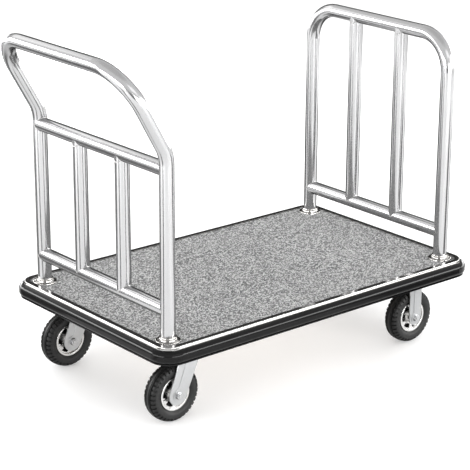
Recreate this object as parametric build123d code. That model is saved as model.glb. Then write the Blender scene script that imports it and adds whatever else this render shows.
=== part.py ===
from build123d import *
import os
from math import cos, radians, sin

# Platform luggage cart: carpeted deck with a steel trim and a rubber bumper, a kicked-back push handle at
# one end, an upright hoop at the other, two swivel casters under the handle and two rigid ones under the
# hoop.
# Millimetres, +Z up. +X points from the handle to the hoop, +Y to the left of the person who pushes.
# The origin is on the floor, under the middle of the overall length and width.

# --- Plan layout, measured from the middle of the deck ---
POST_SPACING_X = 960.0
POST_SPACING_Y = 540.0
DECK_MARGIN_X = 49.0
DECK_MARGIN_Y = 55.0
DECK_CORNER_R = 42.0
CASTER_SETBACK_X = 78.0
CASTER_SETBACK_Y = 39.0

# --- Deck stack, from the top of the casters up ---
RAIL_WIDTH = 30.0
RAIL_HEIGHT = 25.0
RAIL_WALL = 2.0
RAIL_END_MARGIN = 20.0
PANEL_THICKNESS = 19.0
CARPET_THICKNESS = 6.0

# --- Deck edge ---
TRIM_WIDTH = 14.0
TRIM_PROUD = 1.5
TRIM_EDGE_R = 2.2
TRIM_LIP_HEIGHT = 2.5
TRIM_LIP_OUT = 2.0
TRIM_JOINT = 0.4
SKIRT_THICKNESS = 2.0
SKIRT_HEIGHT = 36.0
BUMPER_DEPTH = 16.0
BUMPER_TOP_FLAT = 1.0
BUMPER_FOOT_FLAT = 5.0
BUMPER_LIP_HEIGHT = 3.5
BUMPER_LIP_STEP = 4.5
BUMPER_WALL = 5.0
BUMPER_JOINT = 0.6

# --- Tube work, heights above the carpet ---
TUBE_R = 19.0
TUBE_WALL = 1.5
HANDLE_HEIGHT = 692.0
HANDLE_KICK_HEIGHT = 476.0
HANDLE_KICK_OUT = 123.0
HANDLE_CORNER_R = 110.0
HANDLE_KICK_R = 95.0
HANDLE_RAIL_HEIGHT = 438.5
HOOP_HEIGHT = 627.0
HOOP_CORNER_R = 95.0
LOW_RAIL_HEIGHT = 77.5
BARS_PER_END = 2

# --- Post feet ---
FLANGE_R = 32.0
FLANGE_PROUD = 3.0
FLANGE_EDGE_R = 1.6
COLLAR_WALL = 3.5
COLLAR_HEIGHT = 8.0
COLLAR_EDGE_R = 1.2
PLUG_LENGTH = 35.0
POST_BOLT_R = 5.0
POST_BOLT_HEAD_FLATS = 17.0
POST_BOLT_HEAD_HEIGHT = 6.4
POST_BOLT_GRIP = 22.0
POST_WASHER_R = 11.0
POST_WASHER_THICKNESS = 2.0

# --- Caster plates and their bolts ---
PLATE_LENGTH = 114.0
PLATE_WIDTH = 102.0
PLATE_THICKNESS = 4.0
PLATE_CORNER_R = 8.0
SLOT_PITCH_X = 88.0
SLOT_PITCH_Y = 74.0
SLOT_LENGTH = 16.0
CASTER_BOLT_R = 4.0
CASTER_BOLT_FLATS = 13.0
CASTER_BOLT_HEAD_HEIGHT = 5.3
CASTER_NUT_HEIGHT = 6.8
THREAD_END = 1.5

# --- Wheels ---
WHEEL_R = 76.0
TYRE_WIDTH = 44.0
TYRE_SHOULDER_DROP = 3.5
TYRE_SHOULDER_IN = 4.5
TYRE_BELLY_LOW = 0.4
TYRE_BELLY_HIGH = 0.6
TYRE_BULGE = 0.8
TYRE_ROUNDING = 0.25
RIM_SEAT_R = 42.0
RIM_LIP_R = 45.0
RIM_LIP_THICKNESS = 3.0
RIM_HALF_WIDTH = 18.0
RIM_WALL = 3.0
RIM_EDGE_R = 1.2
WEB_THICKNESS = 4.0
WEB_SETBACK = 5.0
WINDOWS = 6
WINDOW_INNER_R = 22.5
WINDOW_OUTER_R = 35.5
WINDOW_ANGLE = 40.0
WINDOW_CORNER_R = 2.0
HUB_R = 18.0
HUB_BORE_R = 12.0
HUB_HALF_WIDTH = 22.0
BEARING_R = 14.0
BEARING_WIDTH = 11.0
BEARING_SHIELD_DEPTH = 0.8
BEARING_RING_WALL = 2.0
SLEEVE_R = 6.0

# --- Fork and bracket legs ---
WHEEL_HEADROOM = 17.0
LEG_CLEARANCE = 4.0
LEG_THICKNESS = 3.5
LEG_PAD_R = 16.0
LEG_PAD_HEIGHT = 1.5
LEG_RIB_WIDTH = 13.0
LEG_RIB_HEIGHT = 1.5
LEG_BEND_R = 3.0
SWIVEL_LEG_WIDTH = 60.0
SWIVEL_LEG_END_R = 27.0
RIGID_LEG_WIDTH = 44.0
RIGID_LEG_END_R = 22.0
TRAIL = 40.0
AXLE_BOLT_R = 5.0
AXLE_FLATS = 17.0
AXLE_HEAD_HEIGHT = 6.4
AXLE_NUT_HEIGHT = 6.0
AXLE_WASHER_R = 10.5
AXLE_WASHER_THICKNESS = 1.6

# --- Swivel head ---
CUP_R = 33.0
CUP_RECESS_R = 27.0
CUP_DEPTH = 9.0
CROWN_THICKNESS = 6.0
SWIVEL_GAP = 2.0
BALL_R = 3.5
BALL_RING_R = 25.0
BALLS = 18
KING_PIN_R = 6.0
KING_PIN_FLATS = 19.0
KING_PIN_HEAD_HEIGHT = 7.5
KING_NUT_HEIGHT = 8.0

# --- Screws ---
SCREW_R = 2.2
SCREW_HEAD_R = 4.2
SCREW_HEAD_HEIGHT = 2.2
SCREW_HEAD_CHAMFER = 0.7
SCREW_BITE = 14.0
TRIM_SCREW_BITE = 4.5
SCREW_PITCH = 165.0

# --- Fits ---
RUNNING_CLEARANCE = 0.05
SEAT_CLEARANCE = 0.02
HOLE_CLEARANCE = 0.2
CARPET_GAP = 0.3
BEAD_GAP = 0.3
END_PLAY = 0.3

# --- Worked-out places ---
POST_X = POST_SPACING_X / 2
POST_Y = POST_SPACING_Y / 2
DECK_HALF_X = POST_X + DECK_MARGIN_X
DECK_HALF_Y = POST_Y + DECK_MARGIN_Y
CASTER_X = POST_X - CASTER_SETBACK_X
CASTER_Y = POST_Y - CASTER_SETBACK_Y
HEAD_HEIGHT = PLATE_THICKNESS + CUP_DEPTH + SWIVEL_GAP + CROWN_THICKNESS
CASTER_HEIGHT = 2 * WHEEL_R + WHEEL_HEADROOM + HEAD_HEIGHT
RAIL_TOP = CASTER_HEIGHT + RAIL_HEIGHT
PANEL_TOP = RAIL_TOP + PANEL_THICKNESS
DECK_TOP = PANEL_TOP + CARPET_THICKNESS
TRIM_TOP = DECK_TOP + TRIM_PROUD
SKIRT_FOOT = PANEL_TOP - SKIRT_HEIGHT
AXLE_DROP = CASTER_HEIGHT - WHEEL_R
LEG_INNER = TYRE_WIDTH / 2 + LEG_CLEARANCE
LEG_OUTER = LEG_INNER + LEG_THICKNESS
CROWN_TOP = -(PLATE_THICKNESS + CUP_DEPTH + SWIVEL_GAP)
BEHIND = POST_X + HANDLE_KICK_OUT + TUBE_R
AHEAD = DECK_HALF_X + BUMPER_DEPTH
CENTRE_SHIFT = (BEHIND - AHEAD) / 2
SIDES = {"left": 1, "right": -1}

os.makedirs("parts", exist_ok=True)


# --- Shared shapes ---
def cylinder_between(radius, low, high):
    """A cylinder on +Z from one height to another."""
    return Pos(0, 0, (low + high) / 2) * Cylinder(radius, high - low)


def ring_between(outer, inner, low, high):
    """A round tube on +Z from one height to another."""
    return cylinder_between(outer, low, high) - cylinder_between(inner, low, high)


def hexagon_between(flats, low, high):
    """A hexagonal prism on +Z, sized across its flats."""
    sketch = RegularPolygon(flats / 2 / cos(radians(30)), 6)
    return Pos(0, 0, low) * extrude(sketch, high - low)


def slab(half_x, half_y, corner_r, low, high):
    """A plate with rounded corners from one height to another."""
    return Pos(0, 0, low) * extrude(RectangleRounded(2 * half_x, 2 * half_y, corner_r), high - low)


def inset_slab(inset, low, high):
    """A plate that follows the deck's outline at a distance inside it, or outside where that is negative."""
    return slab(DECK_HALF_X - inset, DECK_HALF_Y - inset, DECK_CORNER_R - inset, low, high)


def along_y(shape):
    """Turn a shape built on +Z so that it lies on +Y."""
    return Rot(-90, 0, 0) * shape


def screw(bite):
    """A pan-head screw that points along +Z, its head seated under the plane z = 0."""
    head = cylinder_between(SCREW_HEAD_R, -SCREW_HEAD_HEIGHT, 0)
    head = chamfer(head.edges().group_by(Axis.Z)[0], SCREW_HEAD_CHAMFER)
    return head + cylinder_between(SCREW_R, 0, bite)


def bent_rod(path, radius):
    """A round rod along a path of straight runs and arcs, as true cylinders and torus bends."""
    rod = []
    for edge in path.edges():
        start, end = edge % 0, edge % 1
        disc = Plane(origin=edge @ 0, z_dir=start) * Circle(radius)
        if edge.geom_type == GeomType.LINE:
            rod.append(extrude(disc, edge.length))
        else:
            axis = Axis(edge.arc_center, start.cross(end))
            rod.append(revolve(disc, axis, start.get_angle(end)))
    return rod[0].fuse(*rod[1:])


def bent_tube(points, radii):
    """The outside and the bore of a round tube bent along a path."""
    path = FilletPolyline(*points, radius=radii)
    return bent_rod(path, TUBE_R), bent_rod(path, TUBE_R - TUBE_WALL)


def spaced(length, pitch):
    """Evenly spaced places on a length, symmetrical about its middle, at about the pitch asked for."""
    count = max(2, round(length / pitch))
    step = length / count
    return [-length / 2 + step * (n + 0.5) for n in range(count)]


def midway(places):
    """The places half way between neighbours."""
    return [(a + b) / 2 for a, b in zip(places, places[1:])]


def edge_stations(half_x, half_y, pick=list):
    """Places and outward directions round the straight parts of the deck's four sides."""
    along_x = pick(spaced(2 * (DECK_HALF_X - DECK_CORNER_R), SCREW_PITCH))
    across_y = pick(spaced(2 * (DECK_HALF_Y - DECK_CORNER_R), SCREW_PITCH))
    stations = []
    for side in (1, -1):
        stations += [(x, side * half_y, 0, side) for x in along_x]
        stations += [(side * half_x, y, side, 0) for y in across_y]
    return stations


def place(shapes):
    """Join the separate solids of one node and move them from the deck's middle to the part's frame."""
    solids = [solid for shape in shapes for solid in shape.solids()]
    return Pos(CENTRE_SHIFT, 0, 0) * Compound(children=solids)


def save(name, *shapes):
    """Write one node."""
    export_step(place(shapes), f"parts/{name}.step")


# --- Deck ---
def post_places():
    """Name, x and y of the four posts."""
    ends = {"handle": -POST_X, "hoop": POST_X}
    return [(f"{end}_{side}", x, SIDES[side] * POST_Y) for end, x in ends.items() for side in SIDES]


def frame_fixings():
    """Places of the screws that hold the deck panel down on the side rails."""
    along = spaced(2 * (CASTER_X - SLOT_PITCH_X), SCREW_PITCH)
    return [(x, side * POST_Y) for side in (1, -1) for x in along]


def cross_rail_places():
    """Places along X of the cross rails: one under each end pair of posts, two over each pair of casters."""
    inner = [CASTER_X - SLOT_PITCH_X / 2, CASTER_X + SLOT_PITCH_X / 2, POST_X]
    return [-x for x in reversed(inner)] + inner


def caster_bolt_places():
    """Places of the sixteen bolts that hold the four casters."""
    return [
        (end * CASTER_X + a * SLOT_PITCH_X / 2, side * CASTER_Y + b * SLOT_PITCH_Y / 2)
        for end in (1, -1)
        for side in (1, -1)
        for a in (1, -1)
        for b in (1, -1)
    ]


def rail(length):
    """A rectangular steel tube along +X, its underside on the casters' top plane."""
    hollow = Rectangle(RAIL_WIDTH - 2 * RAIL_WALL, RAIL_HEIGHT - 2 * RAIL_WALL)
    section = Rectangle(RAIL_WIDTH, RAIL_HEIGHT) - hollow
    bar = extrude(Plane.YZ * section, length / 2, both=True)
    return Pos(0, 0, CASTER_HEIGHT + RAIL_HEIGHT / 2) * bar


def rail_drills():
    """Everything that is drilled through the rails, as one tool for each hole."""
    tools = []
    for x, y in caster_bolt_places():
        low_wall = cylinder_between(CASTER_BOLT_R + HOLE_CLEARANCE, CASTER_HEIGHT, CASTER_HEIGHT + RAIL_WALL)
        tools.append(Pos(x, y, 0) * low_wall)
    for _, x, y in post_places():
        tools.append(Pos(x, y, 0) * cylinder_between(POST_BOLT_R + HOLE_CLEARANCE, CASTER_HEIGHT, RAIL_TOP))
    for x, y in frame_fixings():
        tools.append(Pos(x, y, 0) * cylinder_between(SCREW_R, CASTER_HEIGHT, RAIL_TOP))
    return tools


def build_frame():
    """The welded rails under the deck panel."""
    drills = rail_drills()
    for name, side in SIDES.items():
        bar = Pos(0, side * POST_Y, 0) * rail(2 * (POST_X + RAIL_END_MARGIN))
        save(f"frame_side_rail_{name}", bar - drills)
    cross_length = POST_SPACING_Y - RAIL_WIDTH
    cross = [Pos(x, 0, 0) * Rot(0, 0, 90) * rail(cross_length) - drills for x in cross_rail_places()]
    save("frame_cross_rails", *cross)


def build_panel():
    """The plywood panel with the holes for the posts and every screw."""
    panel = inset_slab(SKIRT_THICKNESS, RAIL_TOP, PANEL_TOP)
    post_hole = cylinder_between(TUBE_R + HOLE_CLEARANCE, RAIL_TOP, PANEL_TOP)
    rail_screw_hole = cylinder_between(SCREW_R, RAIL_TOP, RAIL_TOP + SCREW_BITE)
    trim_screw_hole = cylinder_between(SCREW_R, RAIL_TOP, PANEL_TOP)
    tools = [Pos(x, y, 0) * post_hole for _, x, y in post_places()]
    tools += [Pos(x, y, 0) * rail_screw_hole for x, y in frame_fixings()]
    tools += [Pos(x, y, 0) * trim_screw_hole for x, y, _, _ in trim_screw_stations()]
    tools += [skirt_screw_pose(s) * skirt_drill() for s in skirt_screw_stations()]
    save("deck_panel", panel - tools)


def build_carpet():
    """The carpet, cut out round the four post flanges."""
    carpet = inset_slab(TRIM_WIDTH + CARPET_GAP, PANEL_TOP, DECK_TOP)
    hole = cylinder_between(FLANGE_R + CARPET_GAP, PANEL_TOP, DECK_TOP)
    save("carpet", carpet - [Pos(x, y, 0) * hole for _, x, y in post_places()])


def trim_screw_stations():
    """Places of the screws that come up through the panel into the trim."""
    return edge_stations(DECK_HALF_X - TRIM_WIDTH / 2, DECK_HALF_Y - TRIM_WIDTH / 2)


def skirt_screw_stations():
    """Places of the screws that hold the skirt to the panel's edge, midway between the trim's screws."""
    return edge_stations(DECK_HALF_X, DECK_HALF_Y, midway)


def skirt_drill():
    """The hole for a skirt screw, through the skirt and into the panel."""
    return cylinder_between(SCREW_R, 0, SKIRT_THICKNESS + SCREW_BITE)


def skirt_screw_pose(station):
    """The place of a skirt screw, turned to drive inwards through the skirt at half the panel's height."""
    x, y, out_x, out_y = station
    plane = Plane(origin=(x, y, RAIL_TOP + PANEL_THICKNESS / 2), z_dir=(-out_x, -out_y, 0))
    return Location(plane)


def build_trim():
    """The bright edge trim, one bent length with a butt joint in the middle of the left side."""
    top = inset_slab(0, PANEL_TOP, TRIM_TOP)
    top = fillet(top.edges().group_by(Axis.Z)[-1], TRIM_EDGE_R)
    lip = inset_slab(-TRIM_LIP_OUT, PANEL_TOP, PANEL_TOP + TRIM_LIP_HEIGHT)
    middle = inset_slab(TRIM_WIDTH, PANEL_TOP, TRIM_TOP)
    height = TRIM_TOP - PANEL_TOP
    joint = Pos(0, DECK_HALF_Y, PANEL_TOP + height / 2) * Box(TRIM_JOINT, 4 * TRIM_WIDTH, height)
    trim = top + lip - middle - joint
    screws = trim_screw_stations()
    pilot = cylinder_between(SCREW_R, PANEL_TOP, PANEL_TOP + TRIM_SCREW_BITE)
    save("edge_trim", trim - [Pos(x, y, 0) * pilot for x, y, _, _ in screws])
    reach = PANEL_THICKNESS + TRIM_SCREW_BITE
    save("trim_screws", *[Pos(x, y, RAIL_TOP) * screw(reach) for x, y, _, _ in screws])


def build_skirt():
    """The steel strip round the panel's edge that carries the bumper."""
    skirt = inset_slab(0, SKIRT_FOOT, PANEL_TOP) - inset_slab(SKIRT_THICKNESS, SKIRT_FOOT, PANEL_TOP)
    stations = skirt_screw_stations()
    save("bumper_skirt", skirt - [skirt_screw_pose(s) * skirt_drill() for s in stations])
    save("skirt_screws", *[skirt_screw_pose(s) * screw(SKIRT_THICKNESS + SCREW_BITE) for s in stations])


def build_bumper():
    """The rubber bumper: a rounded hollow section with a foot lip, open at the back against the skirt."""
    body_height = SKIRT_HEIGHT - BUMPER_LIP_HEIGHT
    body = Pos(BUMPER_DEPTH / 2, BUMPER_LIP_HEIGHT + body_height / 2) * Rectangle(BUMPER_DEPTH, body_height)
    outer_corners = body.vertices().group_by(Axis.X)[-1].sort_by(Axis.Y)
    body = fillet(outer_corners[-1], BUMPER_DEPTH - BUMPER_TOP_FLAT)
    foot_corner = body.vertices().filter_by(lambda v: v.X > BUMPER_DEPTH / 2).sort_by(Axis.Y)[0]
    body = fillet(foot_corner, BUMPER_DEPTH - BUMPER_FOOT_FLAT)
    lip_depth = BUMPER_DEPTH - BUMPER_LIP_STEP
    lip = Pos(lip_depth / 2, BUMPER_LIP_HEIGHT / 2) * Rectangle(lip_depth, BUMPER_LIP_HEIGHT)
    hollow_depth = BUMPER_DEPTH - BUMPER_WALL
    hollow_height = body_height - 2 * BUMPER_WALL
    hollow = Rectangle(hollow_depth, hollow_height)
    hollow = Pos(hollow_depth / 2, BUMPER_LIP_HEIGHT + body_height / 2) * hollow
    hollow = fillet(hollow.vertices().group_by(Axis.X)[-1], BUMPER_WALL)
    section = body + lip - hollow
    path = Pos(0, 0, SKIRT_FOOT) * RectangleRounded(2 * DECK_HALF_X, 2 * DECK_HALF_Y, DECK_CORNER_R).wire()
    start = Plane(origin=(0, DECK_HALF_Y, SKIRT_FOOT), x_dir=(0, 1, 0), z_dir=(1, 0, 0))
    bumper = sweep(start * section, path=path)
    joint = Box(BUMPER_JOINT, 4 * BUMPER_DEPTH, 2 * SKIRT_HEIGHT)
    joint = Pos(0, DECK_HALF_Y, SKIRT_FOOT + SKIRT_HEIGHT / 2) * joint
    save("bumper", bumper - joint)


# --- Tube work ---
def level_tube(x, height, radius):
    """A solid bar from post axis to post axis, level across the cart."""
    return Pos(x, 0, DECK_TOP + height) * along_y(Cylinder(radius, POST_SPACING_Y))


def cross_rail(x, height):
    """A straight tube between the two posts of one end, its ends cut to fit round them."""
    post = cylinder_between(TUBE_R, RAIL_TOP, DECK_TOP + height + 2 * TUBE_R)
    posts = [Pos(x, side * POST_Y, 0) * post for side in (1, -1)]
    return level_tube(x, height, TUBE_R) - level_tube(x, height, TUBE_R - TUBE_WALL) - posts


def bar_places():
    """Places across the cart of the upright bars of one end."""
    step = POST_SPACING_Y / (BARS_PER_END + 1)
    return [POST_Y - step * (n + 1) for n in range(BARS_PER_END)]


def save_upright_bars(end, x, low, high):
    """The upright bars of one end, cut to fit the level tubes that they meet below and above."""
    tube = ring_between(TUBE_R, TUBE_R - TUBE_WALL, DECK_TOP + low, DECK_TOP + high)
    met = [level_tube(x, low, TUBE_R), level_tube(x, high, TUBE_R)]
    for n, y in enumerate(bar_places(), 1):
        save(f"{end}_bar_{n}", Pos(x, y, 0) * tube - met)


def build_handle():
    """The push handle: one bent tube, two cross rails and the upright bars between them."""
    foot, kick, top = RAIL_TOP, DECK_TOP + HANDLE_KICK_HEIGHT, DECK_TOP + HANDLE_HEIGHT
    back = -POST_X - HANDLE_KICK_OUT
    side = [(-POST_X, POST_Y, foot), (-POST_X, POST_Y, kick), (back, POST_Y, top)]
    points = side + [(x, -y, z) for x, y, z in reversed(side)]
    radii = [HANDLE_KICK_R, HANDLE_CORNER_R, HANDLE_CORNER_R, HANDLE_KICK_R]
    outside, bore = bent_tube(points, radii)
    save("handle_tube", outside - bore)
    save("handle_upper_rail", cross_rail(-POST_X, HANDLE_RAIL_HEIGHT) - outside)
    save("handle_lower_rail", cross_rail(-POST_X, LOW_RAIL_HEIGHT))
    save_upright_bars("handle", -POST_X, LOW_RAIL_HEIGHT, HANDLE_RAIL_HEIGHT)


def build_hoop():
    """The upright hoop: one bent tube, a low cross rail and the upright bars up to the hoop's top."""
    foot, top = RAIL_TOP, DECK_TOP + HOOP_HEIGHT
    side = [(POST_X, POST_Y, foot), (POST_X, POST_Y, top)]
    points = side + [(x, -y, z) for x, y, z in reversed(side)]
    outside, bore = bent_tube(points, [HOOP_CORNER_R, HOOP_CORNER_R])
    save("hoop_tube", outside - bore)
    save("hoop_lower_rail", cross_rail(POST_X, LOW_RAIL_HEIGHT))
    save_upright_bars("hoop", POST_X, LOW_RAIL_HEIGHT, HOOP_HEIGHT)


def build_post_feet():
    """The flanges round the posts and the plugs, bolts and washers that hold the posts down."""
    rim = cylinder_between(FLANGE_R, PANEL_TOP, DECK_TOP + FLANGE_PROUD)
    rim = fillet(rim.edges().group_by(Axis.Z)[-1], FLANGE_EDGE_R)
    collar_top = DECK_TOP + FLANGE_PROUD + COLLAR_HEIGHT
    collar = cylinder_between(TUBE_R + COLLAR_WALL, PANEL_TOP, collar_top)
    collar = fillet(collar.edges().group_by(Axis.Z)[-1], COLLAR_EDGE_R)
    flange = rim + collar - cylinder_between(TUBE_R, PANEL_TOP, collar_top)
    plug = ring_between(TUBE_R - TUBE_WALL, POST_BOLT_R, RAIL_TOP, RAIL_TOP + PLUG_LENGTH)
    bolt_seat = CASTER_HEIGHT - POST_WASHER_THICKNESS
    bolt = hexagon_between(POST_BOLT_HEAD_FLATS, bolt_seat - POST_BOLT_HEAD_HEIGHT, bolt_seat)
    bolt += cylinder_between(POST_BOLT_R, bolt_seat, RAIL_TOP + POST_BOLT_GRIP)
    washer = ring_between(POST_WASHER_R, POST_BOLT_R + HOLE_CLEARANCE, bolt_seat, CASTER_HEIGHT)
    for name, x, y in post_places():
        save(f"post_flange_{name}", Pos(x, y, 0) * flange)
    spots = [Pos(x, y, 0) for _, x, y in post_places()]
    save("post_plugs", *[spot * plug for spot in spots])
    save("post_bolts", *[spot * bolt for spot in spots])
    save("post_washers", *[spot * washer for spot in spots])


# --- Casters, each built under the plane z = 0 of its top plate ---
def slotted_plate():
    """The top plate of a caster with its four bolt slots."""
    plate = slab(PLATE_LENGTH / 2, PLATE_WIDTH / 2, PLATE_CORNER_R, -PLATE_THICKNESS, 0)
    slot = SlotOverall(SLOT_LENGTH, 2 * (CASTER_BOLT_R + HOLE_CLEARANCE))
    slots = [
        Pos(a * SLOT_PITCH_X / 2, b * SLOT_PITCH_Y / 2, -PLATE_THICKNESS) * extrude(slot, PLATE_THICKNESS)
        for a in (1, -1)
        for b in (1, -1)
    ]
    return plate - slots


def leg_outline(width, end_r, axle_x, top):
    """The side view of a leg, from its straight top edge to its round lower end at the axle."""
    axle = (axle_x, -AXLE_DROP)
    edge = Pos(0, top) * Rectangle(width, 2 * LEG_THICKNESS, align=(Align.CENTER, Align.MAX))
    end = Pos(*axle) * Circle(end_r)
    return make_hull(edge.edges() + end.edges())


def legs(width, end_r, axle_x, top):
    """Both legs with their raised pads and ribs, drilled for the axle bolt."""
    outline = leg_outline(width, end_r, axle_x, top)
    axle = Pos(axle_x, 0, -AXLE_DROP)
    rib_top = top - 2 * LEG_BEND_R - LEG_RIB_WIDTH / 2
    rib_foot = -AXLE_DROP + LEG_PAD_R
    lean = axle_x / (AXLE_DROP + top)
    rib_ends = [(axle_x - lean * (z + AXLE_DROP), z) for z in (rib_foot, rib_top)]
    rib = make_hull([e for x, z in rib_ends for e in (Pos(x, z) * Circle(LEG_RIB_WIDTH / 2)).edges()])
    pair = []
    for side in (1, -1):
        face = Plane(origin=(0, side * LEG_INNER, 0), x_dir=(1, 0, 0), z_dir=(0, -1, 0))
        leg = extrude(face * outline, -side * LEG_THICKNESS)
        raised = Plane(origin=(0, side * LEG_OUTER, 0), x_dir=(1, 0, 0), z_dir=(0, -1, 0))
        leg += extrude(raised * rib, -side * LEG_RIB_HEIGHT)
        low, high = sorted((side * LEG_OUTER, side * (LEG_OUTER + LEG_PAD_HEIGHT)))
        leg += axle * along_y(cylinder_between(LEG_PAD_R, low, high))
        reach = LEG_OUTER + LEG_PAD_HEIGHT
        pair.append(leg - axle * along_y(cylinder_between(AXLE_BOLT_R + HOLE_CLEARANCE, -reach, reach)))
    return pair


def swivel_plate():
    """The fixed top plate of a swivel caster, with a pressed cup for the king pin and the balls' race."""
    foot = -(PLATE_THICKNESS + CUP_DEPTH)
    plate = slotted_plate() + cylinder_between(CUP_R, foot, -PLATE_THICKNESS)
    plate -= cylinder_between(CUP_RECESS_R, -CUP_DEPTH, 0)
    plate -= cylinder_between(KING_PIN_R + SEAT_CLEARANCE, foot, 0)
    return plate - ball_race()


def ball_race():
    """The round groove that the balls run in, half in the cup and half in the fork's crown."""
    return Pos(0, 0, CROWN_TOP + SWIVEL_GAP / 2) * Torus(BALL_RING_R, BALL_R + RUNNING_CLEARANCE)


def swivel_balls():
    """The ring of steel balls."""
    step = 360 / BALLS
    centre = Pos(0, 0, CROWN_TOP + SWIVEL_GAP / 2)
    return [centre * Rot(0, 0, step * n) * Pos(BALL_RING_R, 0, 0) * Sphere(BALL_R) for n in range(BALLS)]


def king_pin():
    """The king pin, its head down in the plate's cup, and its nut under the fork's crown."""
    seat = -CUP_DEPTH
    nut_top = CROWN_TOP - CROWN_THICKNESS - END_PLAY
    nut_foot = nut_top - KING_NUT_HEIGHT
    pin = hexagon_between(KING_PIN_FLATS, seat, seat + KING_PIN_HEAD_HEIGHT)
    pin += cylinder_between(KING_PIN_R, nut_foot - THREAD_END, seat)
    nut = hexagon_between(KING_PIN_FLATS, nut_foot, nut_top)
    return [pin, nut - cylinder_between(KING_PIN_R, nut_foot, nut_top)]


def swivel_fork():
    """The raked fork: a round crown with the lower race and two legs that trail back to the axle."""
    web_foot = CROWN_TOP - LEG_THICKNESS
    web = Pos(0, 0, (CROWN_TOP + web_foot) / 2) * Box(SWIVEL_LEG_WIDTH, 2 * LEG_OUTER, LEG_THICKNESS)
    body = web + legs(SWIVEL_LEG_WIDTH, SWIVEL_LEG_END_R, -TRAIL, CROWN_TOP)
    bends = body.edges().filter_by(Axis.X).group_by(Axis.Z)[-1]
    body = fillet(bends, LEG_BEND_R)
    body += cylinder_between(CUP_R - LEG_BEND_R, CROWN_TOP - CROWN_THICKNESS, CROWN_TOP)
    body -= cylinder_between(KING_PIN_R + RUNNING_CLEARANCE, CROWN_TOP - CROWN_THICKNESS, CROWN_TOP)
    return body - ball_race()


def rigid_bracket():
    """The fixed bracket: a top plate with two upright legs."""
    return slotted_plate() + legs(RIGID_LEG_WIDTH, RIGID_LEG_END_R, 0, 0)


def wheel_tyre():
    """The tyre, a closed ring with rounded shoulders and flat bellies at its widest."""
    half = TYRE_WIDTH / 2
    bead = RIM_HALF_WIDTH - RIM_LIP_THICKNESS - SEAT_CLEARANCE
    bead_top = RIM_LIP_R + BEAD_GAP
    belly_low = bead_top + (WHEEL_R - bead_top) * TYRE_BELLY_LOW
    belly_high = bead_top + (WHEEL_R - bead_top) * TYRE_BELLY_HIGH
    shoulder = (half - TYRE_SHOULDER_IN, WHEEL_R - TYRE_SHOULDER_DROP)
    bulge = (bead + (half - bead) * TYRE_BULGE, bead_top + (belly_low - bead_top) * TYRE_BELLY_LOW)
    rounding = TYRE_SHOULDER_IN * TYRE_ROUNDING
    round_over = (half - rounding, (belly_high + shoulder[1]) / 2 + rounding)
    right = [
        Line((bead, RIM_SEAT_R), (bead, bead_top)),
        ThreePointArc((bead, bead_top), bulge, (half, belly_low)),
        Line((half, belly_low), (half, belly_high)),
        ThreePointArc((half, belly_high), round_over, shoulder),
    ]
    left = [mirror(edge, Plane.YZ) for edge in right]
    crown = ThreePointArc(shoulder, (0, WHEEL_R), (-shoulder[0], shoulder[1]))
    seat = Line((-bead, RIM_SEAT_R), (bead, RIM_SEAT_R))
    section = make_face(right + left + [crown, seat])
    return revolve(Plane.YZ * section, Axis.Y, 360)


def rim_half():
    """One pressed half of the rim, on the +Y side: bead seat and lip, windowed web and hub."""
    web_out = RIM_HALF_WIDTH - WEB_SETBACK
    web_in = web_out - WEB_THICKNESS
    pocket = HUB_HALF_WIDTH - BEARING_WIDTH
    barrel_r = RIM_SEAT_R - RIM_WALL
    lip_in = RIM_HALF_WIDTH - RIM_LIP_THICKNESS
    outline = Polyline(
        (0, HUB_BORE_R), (pocket, HUB_BORE_R), (pocket, BEARING_R), (HUB_HALF_WIDTH, BEARING_R),
        (HUB_HALF_WIDTH, HUB_R), (web_out, HUB_R), (web_out, barrel_r), (RIM_HALF_WIDTH, barrel_r),
        (RIM_HALF_WIDTH, RIM_LIP_R), (lip_in, RIM_LIP_R), (lip_in, RIM_SEAT_R), (0, RIM_SEAT_R),
        (0, barrel_r), (web_in, barrel_r), (web_in, HUB_R), (0, HUB_R), close=True,
    )
    section = make_face(outline)
    lip_corners = section.vertices().filter_by(lambda v: v.X > lip_in and v.Y > RIM_SEAT_R - 2 * RIM_WALL)
    section = fillet(lip_corners, RIM_EDGE_R)
    half = revolve(Plane.YZ * section, Axis.Y, 360)
    ring = Circle(WINDOW_OUTER_R) - Circle(WINDOW_INNER_R)
    spread = radians(WINDOW_ANGLE / 2)
    far = 2 * WINDOW_OUTER_R
    corner = (far * cos(spread), far * sin(spread))
    wedge = make_face(Polyline((0, 0), corner, (corner[0], -corner[1]), close=True))
    window = ring & wedge
    window = fillet(window.vertices(), WINDOW_CORNER_R)
    cutter = Pos(0, RIM_HALF_WIDTH, 0) * extrude(Plane.XZ * window, RIM_HALF_WIDTH - web_in / 2)
    return half - [Rot(0, 360 / WINDOWS * n, 0) * cutter for n in range(WINDOWS)]


def wheel_rim():
    """Both halves of the rim, face to face in the wheel's middle plane."""
    half = rim_half()
    return [half, mirror(half, Plane.XZ)]


def wheel_bearings():
    """The two shielded ball bearings in the hub."""
    bore = SLEEVE_R + RUNNING_CLEARANCE
    inner, outer = HUB_HALF_WIDTH - BEARING_WIDTH, HUB_HALF_WIDTH
    bearing = ring_between(BEARING_R - SEAT_CLEARANCE, bore, inner, outer)
    shield = ring_between(
        BEARING_R - BEARING_RING_WALL, bore + BEARING_RING_WALL, outer - BEARING_SHIELD_DEPTH, outer
    )
    bearing = along_y(bearing - shield)
    return [bearing, mirror(bearing, Plane.XZ)]


def axle_sleeve():
    """The sleeve that the bearings run on, clamped between the legs."""
    reach = LEG_INNER
    return along_y(ring_between(SLEEVE_R, AXLE_BOLT_R + SEAT_CLEARANCE, -reach, reach))


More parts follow.
